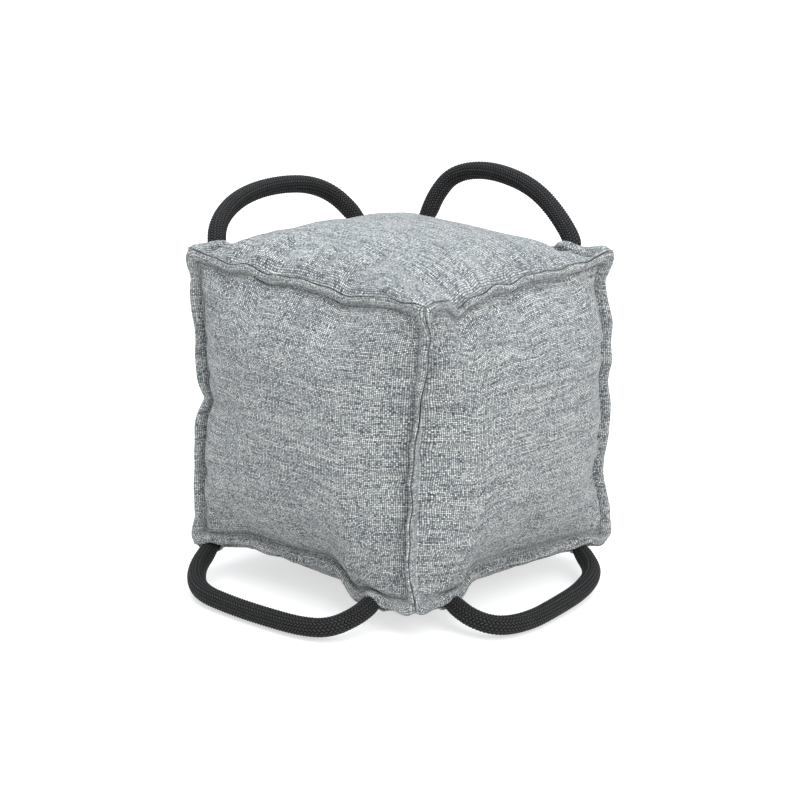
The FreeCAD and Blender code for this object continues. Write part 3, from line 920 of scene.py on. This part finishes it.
def hem_rings(name, crease, loop_flat):
    """The rings of points of a panel's hem, from the crease over the fold and down into the slit."""
    outward = PANELS[name][0]
    out, lean, height, thickness, gape, shut = border_facts(name, loop_flat)
    steps = np.arange(len(HEM_SECTION))
    fine = np.linspace(0, len(HEM_SECTION) - 1, (len(HEM_SECTION) - 1) * HEM_STEPS + 1)
    away, off = zip(*HEM_SECTION)
    away = spline(steps, away, fine) * MM
    off = spline(steps, off, fine) * MM
    inside = smooth_step((fine - FOLD_STARTS) / 3)
    rings = []
    for s, n, closing in zip(away, off, inside):
        raised = np.maximum(s, 0) / FLANGE
        stand = s * height
        side = (n * thickness * (1 - SLIT_SHUT * shut * closing) + lean * raised**LEAN_POWER
                + gape * smooth_step(0.5 + raised))
        ring = (crease + out * ((stand - side) / math.sqrt(2))[:, None]
                + outward * ((stand + side) / math.sqrt(2))[:, None])
        rings.append(ring)
    return rings


CREASE_REACH = 7 * MM         # how far from its foot a hem and its panel run into each other in a soft hollow
FOOT_RINGS = 9                # the hem's rings, from its foot out, that take part in that
SOFTENINGS = 26
SOFTENING = 0.5               # how far a point goes towards its neighbours' middle at each


def crease_nearness(name, flat, ring_count):
    """For every point of a panel and its hem, from 0 to 1: how much it is softened into the crease."""
    size = flat.shape[0]
    loop_i, loop_j = border_loop(size)
    strength = np.zeros(len(loop_i))
    for seam, _, mine, share in border_sides(name, flat[loop_i, loop_j]):
        strength[mine] = np.clip(seam.softness + 0.4 * ripple(seam.seed + 130, share, 3, 9), 0.1, 1)
        flat_panel, at_start, at_end = FLAT_HEMS.get(seam.name, NO_HEM)
        if flat_panel == name:
            strength[mine] = at_start + (at_end - at_start) * share
    # the nearest border point of each grid point, and how far off it is
    i, j = np.meshgrid(np.arange(size), np.arange(size), indexing="ij")
    sides = np.stack([j, size - 1 - i, size - 1 - j, i])
    nearest = np.argmin(sides, axis=0)
    last = size - 1
    place = np.choose(nearest, [i, last + j, 2 * last + (last - i), 3 * last + (last - j)]) % (4 * last)
    cell = 2 * SEAM_HALF / last
    inner = strength[place] * np.exp(-(sides.min(axis=0) * cell / CREASE_REACH)**2)
    rings = [strength * max(0.0, 1 - number / FOOT_RINGS) for number in range(1, ring_count)]
    return np.concatenate([inner.ravel()] + rings)


def soften(points, quads, amount):
    """The points after each has been drawn towards its neighbours' middle, by its own amount, many times."""
    edges = np.concatenate([quads[:, [0, 1]], quads[:, [1, 2]], quads[:, [2, 3]], quads[:, [3, 0]]])
    count = np.bincount(edges.ravel(), minlength=len(points))[:, None]
    for _ in range(SOFTENINGS):
        total = np.zeros_like(points)
        for axis in range(3):
            total[:, axis] = (np.bincount(edges[:, 0], points[edges[:, 1], axis], len(points))
                              + np.bincount(edges[:, 1], points[edges[:, 0], axis], len(points)))
        points = points + SOFTENING * amount[:, None] * (total / count - points)
    return points


LUMPS = 0.9 * MM              # the height of a panel's broad lumps
FOLDS = 1.1 * MM              # and of the folds that its seams gather
FOLD_LENGTH = 0.11            # shares of a panel's width: how far in from the seam those reach
FOLD_STARTS_AT = 0.03         # and how far from it they have risen


def puckers(name, flat):
    """How far each point of a panel stands out on the soft folds that its seams gather in the cloth."""
    _, right, up = PANELS[name]
    number = 20 * list(PANELS).index(name)
    local = flat - flat.mean(axis=(0, 1))
    x = (local @ right) / (2 * SEAM_HALF)
    y = (local @ up) / (2 * SEAM_HALF)
    total = LUMPS * ripple(number + 300, x + 0.4 * y, 2, 5) * ripple(number + 301, y - 0.3 * x, 1, 3)
    for side, (run, away) in enumerate(((x, y + 0.5), (y, 0.5 - x), (x, 0.5 - y), (y, x + 0.5))):
        slant = 0.5 * ripple(number + 310 + side, run, 1, 3) * away
        folds = ripple(number + 320 + side, run + slant, 7, 15) + 0.6 * ripple(number + 330 + side, run, 3, 6)
        total += FOLDS * folds * np.exp(-away / FOLD_LENGTH) * smooth_step(away / FOLD_STARTS_AT)
    edge = np.minimum(0.5 - np.abs(x), 0.5 - np.abs(y))
    return total * smooth_step(edge / FOLD_STARTS_AT)


def make_panel(name, grid, weights):
    """One panel of cloth, from its middle to the ends of its folded hems."""
    outward, right, up = PANELS[name]
    fine = np.einsum("ai,ijk,bj->abk", weights, grid, weights)
    flat = panel_plane(name, FINE)
    fine += puckers(name, flat)[:, :, None] * outward
    loop_i, loop_j = border_loop(FINE + 1)
    loop_flat = flat[loop_i, loop_j]
    rings = hem_rings(name, fine[loop_i, loop_j], loop_flat)
    fine[loop_i, loop_j] = rings[0]
    points = np.concatenate([fine.reshape(-1, 3)] + rings[1:])
    index = np.arange(fine.shape[0] * fine.shape[1]).reshape(fine.shape[:2])
    beyond = np.arange(index.size, len(points)).reshape(len(rings) - 1, len(loop_i))
    hem = np.vstack([index[loop_i, loop_j], beyond])
    # a hem's rings run the other way round from a tube's
    quads = np.concatenate([grid_quads(index), np.roll(tube_quads(hem)[:, ::-1], 1, axis=1)])
    # where each point lies on the cut cloth, for the weave
    on_cloth = np.stack([right, up], axis=-1)
    cuts = [(flat @ on_cloth).reshape(-1, 2)]
    ring_cut = loop_flat @ on_cloth
    out_cut = border_facts(name, loop_flat)[0] @ on_cloth
    travelled = 0.0
    for before, ring in zip(rings, rings[1:]):
        travelled += float(np.median(np.linalg.norm(ring - before, axis=1)))
        cuts.append(ring_cut + out_cut * travelled)
    points = soften(points, quads, crease_nearness(name, flat, len(rings)))
    points[:, 2] = np.maximum(points[:, 2], FLOOR_GAP)
    panel = make_mesh(f"{name}_panel_cloth", points, quads)
    seed = 0.5 * (1 + list(PANELS).index(name))
    keep_values(panel, "cut", "POINT", np.column_stack([np.concatenate(cuts), np.full(len(points), seed)]))
    panel.data.materials.append(GREY_CLOTH)
    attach(panel, ROOT)
    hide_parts(f"{name}_panel")
    for side, (seam, _) in enumerate(panel_sides(name)):
        run = np.arange(side * FINE, (side + 1) * FINE + 1) % (4 * FINE)
        SEAM_FEET.setdefault(seam.name, []).append(rings[STITCH_RING][run])


# ---- The stitches ----

STITCH_RING = 3               # the ring of the hem that the topstitching lies on
STITCH_PITCH = 3.4 * MM
STITCH_LENGTH = 2.7 * MM
STITCH_RADIUS = 0.4 * MM
STITCH_PROUD = 0.2 * MM       # how far the middle of a stitch stands off the hem
TACK_RADIUS = 0.5 * MM
TACK_DEPTHS = (9, 12, 15)     # mm in from the flange's tip to each cross stitch of a bar tack
SEAM_FEET = {}                # each seam's two lines of points that its stitches lie along


def capsule(start, end, radius, sides=6, rings=5):
    """The points and quads of a rounded stitch from start to end."""
    direction = unit(end - start)
    first = unit(np.cross(direction, vector(0.31, 0.53, 0.79)))
    second = np.cross(direction, first)
    angle = 2 * math.pi * np.arange(sides) / sides
    circle = np.cos(angle)[:, None] * first + np.sin(angle)[:, None] * second
    points = []
    for share in np.linspace(0.02, 0.98, rings):
        swell = math.sin(math.pi * share) ** 0.4
        points.append(start + (end - start) * share + circle * radius * swell)
    index = np.arange(sides * rings).reshape(rings, sides)
    quads = [tube_quads(index)]
    # each end is closed by two quads across its ring of six
    for ring in (index[0][::-1], index[-1]):
        quads.append(np.array([[ring[0], ring[1], ring[2], ring[3]], [ring[0], ring[3], ring[4], ring[5]]]))
    return np.concatenate(points), np.concatenate(quads)


def capsules(name, spans, radius, material):
    """One piece of many capsules, each from a start to an end."""
    points = []
    quads = []
    count = 0
    for start, end in spans:
        more_points, more_quads = capsule(start, end, radius)
        points.append(more_points)
        quads.append(more_quads + count)
        count += len(more_points)
    piece = make_mesh(name, np.concatenate(points), np.concatenate(quads))
    piece.data.materials.append(material)
    return piece


def make_topstitch(seam):
    """The two rows of stitches at the foot of a flange."""
    middle = np.mean([feet.mean(axis=0) for feet in SEAM_FEET[seam.name]], axis=0)
    out = (seam.normals[0] + seam.normals[1]) / math.sqrt(2)
    spans = []
    for feet in SEAM_FEET[seam.name]:
        across = feet.mean(axis=0) - middle
        across = unit(across - out * (across @ out))
        line, _ = evenly(feet, STITCH_PITCH)
        places = [place + across * STITCH_PROUD for place in line]
        for here, following in zip(places[1:-2], places[2:-1]):
            blocked = any(abs(here @ seam.along - place) < ROPE_DIAMETER for place in rope_exits(seam))
            if not blocked:
                spans.append((here, here + (following - here) * (STITCH_LENGTH / STITCH_PITCH)))
    stitches = capsules(f"{seam.name}_stitches", spans, STITCH_RADIUS, GREY_THREAD)
    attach(stitches, ROOT)
    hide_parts(f"{seam.name}_topstitch")


def make_bar_tacks(name):
    """The short cross stitches that hold both ends of a handle's rope inside its seam."""
    _, along, _, _, route = HANDLES[name]
    middle, flange, _ = handle_frame(name)
    across = np.cross(along, flange)
    spans = []
    for place in (route[0][0], route[-1][0]):
        for depth in TACK_DEPTHS:
            centre = middle + along * place - flange * depth * MM
            spans.append((centre - across * ROPE_DIAMETER / 2, centre + across * ROPE_DIAMETER / 2))
    tacks = capsules(f"{name}_handle_tacks", spans, TACK_RADIUS, GREY_THREAD)
    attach(tacks, ROOT)
    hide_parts(f"{name}_handle_bar_tacks")


# ---- The stuffing ----

FILL_INSIDE = 4 * MM          # how far inside the cover's points the fibre lies
FILL_LUMPS = 0.6 * MM
FILL_FLOOR = 2.5 * MM


def make_stuffing(cover):
    """The fibre fill, a little inside the cloth, with the slight lumps of packed fibre."""
    points, quads, _ = weld(cover)
    normals = np.zeros_like(points)
    edges_one = points[quads[:, 2]] - points[quads[:, 0]]
    edges_two = points[quads[:, 3]] - points[quads[:, 1]]
    faces = np.cross(edges_one, edges_two)
    for corner in range(4):
        np.add.at(normals, quads[:, corner], faces)
    lumps = FILL_LUMPS * np.sin(points @ vector(210, 170, 130)) * np.sin(points @ vector(-150, 190, 160))
    points = points - unit(normals) * (FILL_INSIDE + lumps)[:, None]
    points[:, 2] = np.maximum(points[:, 2], FILL_FLOOR)
    fill = make_mesh("fibre_stuffing", points, quads)
    fill.data.materials.append(WHITE_FIBRE)
    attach(fill, ROOT)
    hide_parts("stuffing")


# ---- Everything, in order ----

ROPE_BLACK = rope_material()
GREY_CLOTH = cloth_material()
GREY_THREAD = fibre_material("grey_thread", (0.34, 0.35, 0.36), (0.16, 0.17, 0.18), 1500.0)
WHITE_FIBRE = fibre_material("white_fibre", (0.9, 0.9, 0.88), (0.7, 0.7, 0.68), 300.0)

add_camera()
for handle in HANDLES:
    make_rope(handle)
COVER = shaped_cover()
WEIGHTS = finer_weights(CELLS, FINER)
for panel_name, panel_grid in COVER.items():
    make_panel(panel_name, panel_grid, WEIGHTS)
for joined_seam in ALL_SEAMS:
    make_topstitch(joined_seam)
for handle in HANDLES:
    make_bar_tacks(handle)
make_stuffing(COVER)
add_studio()
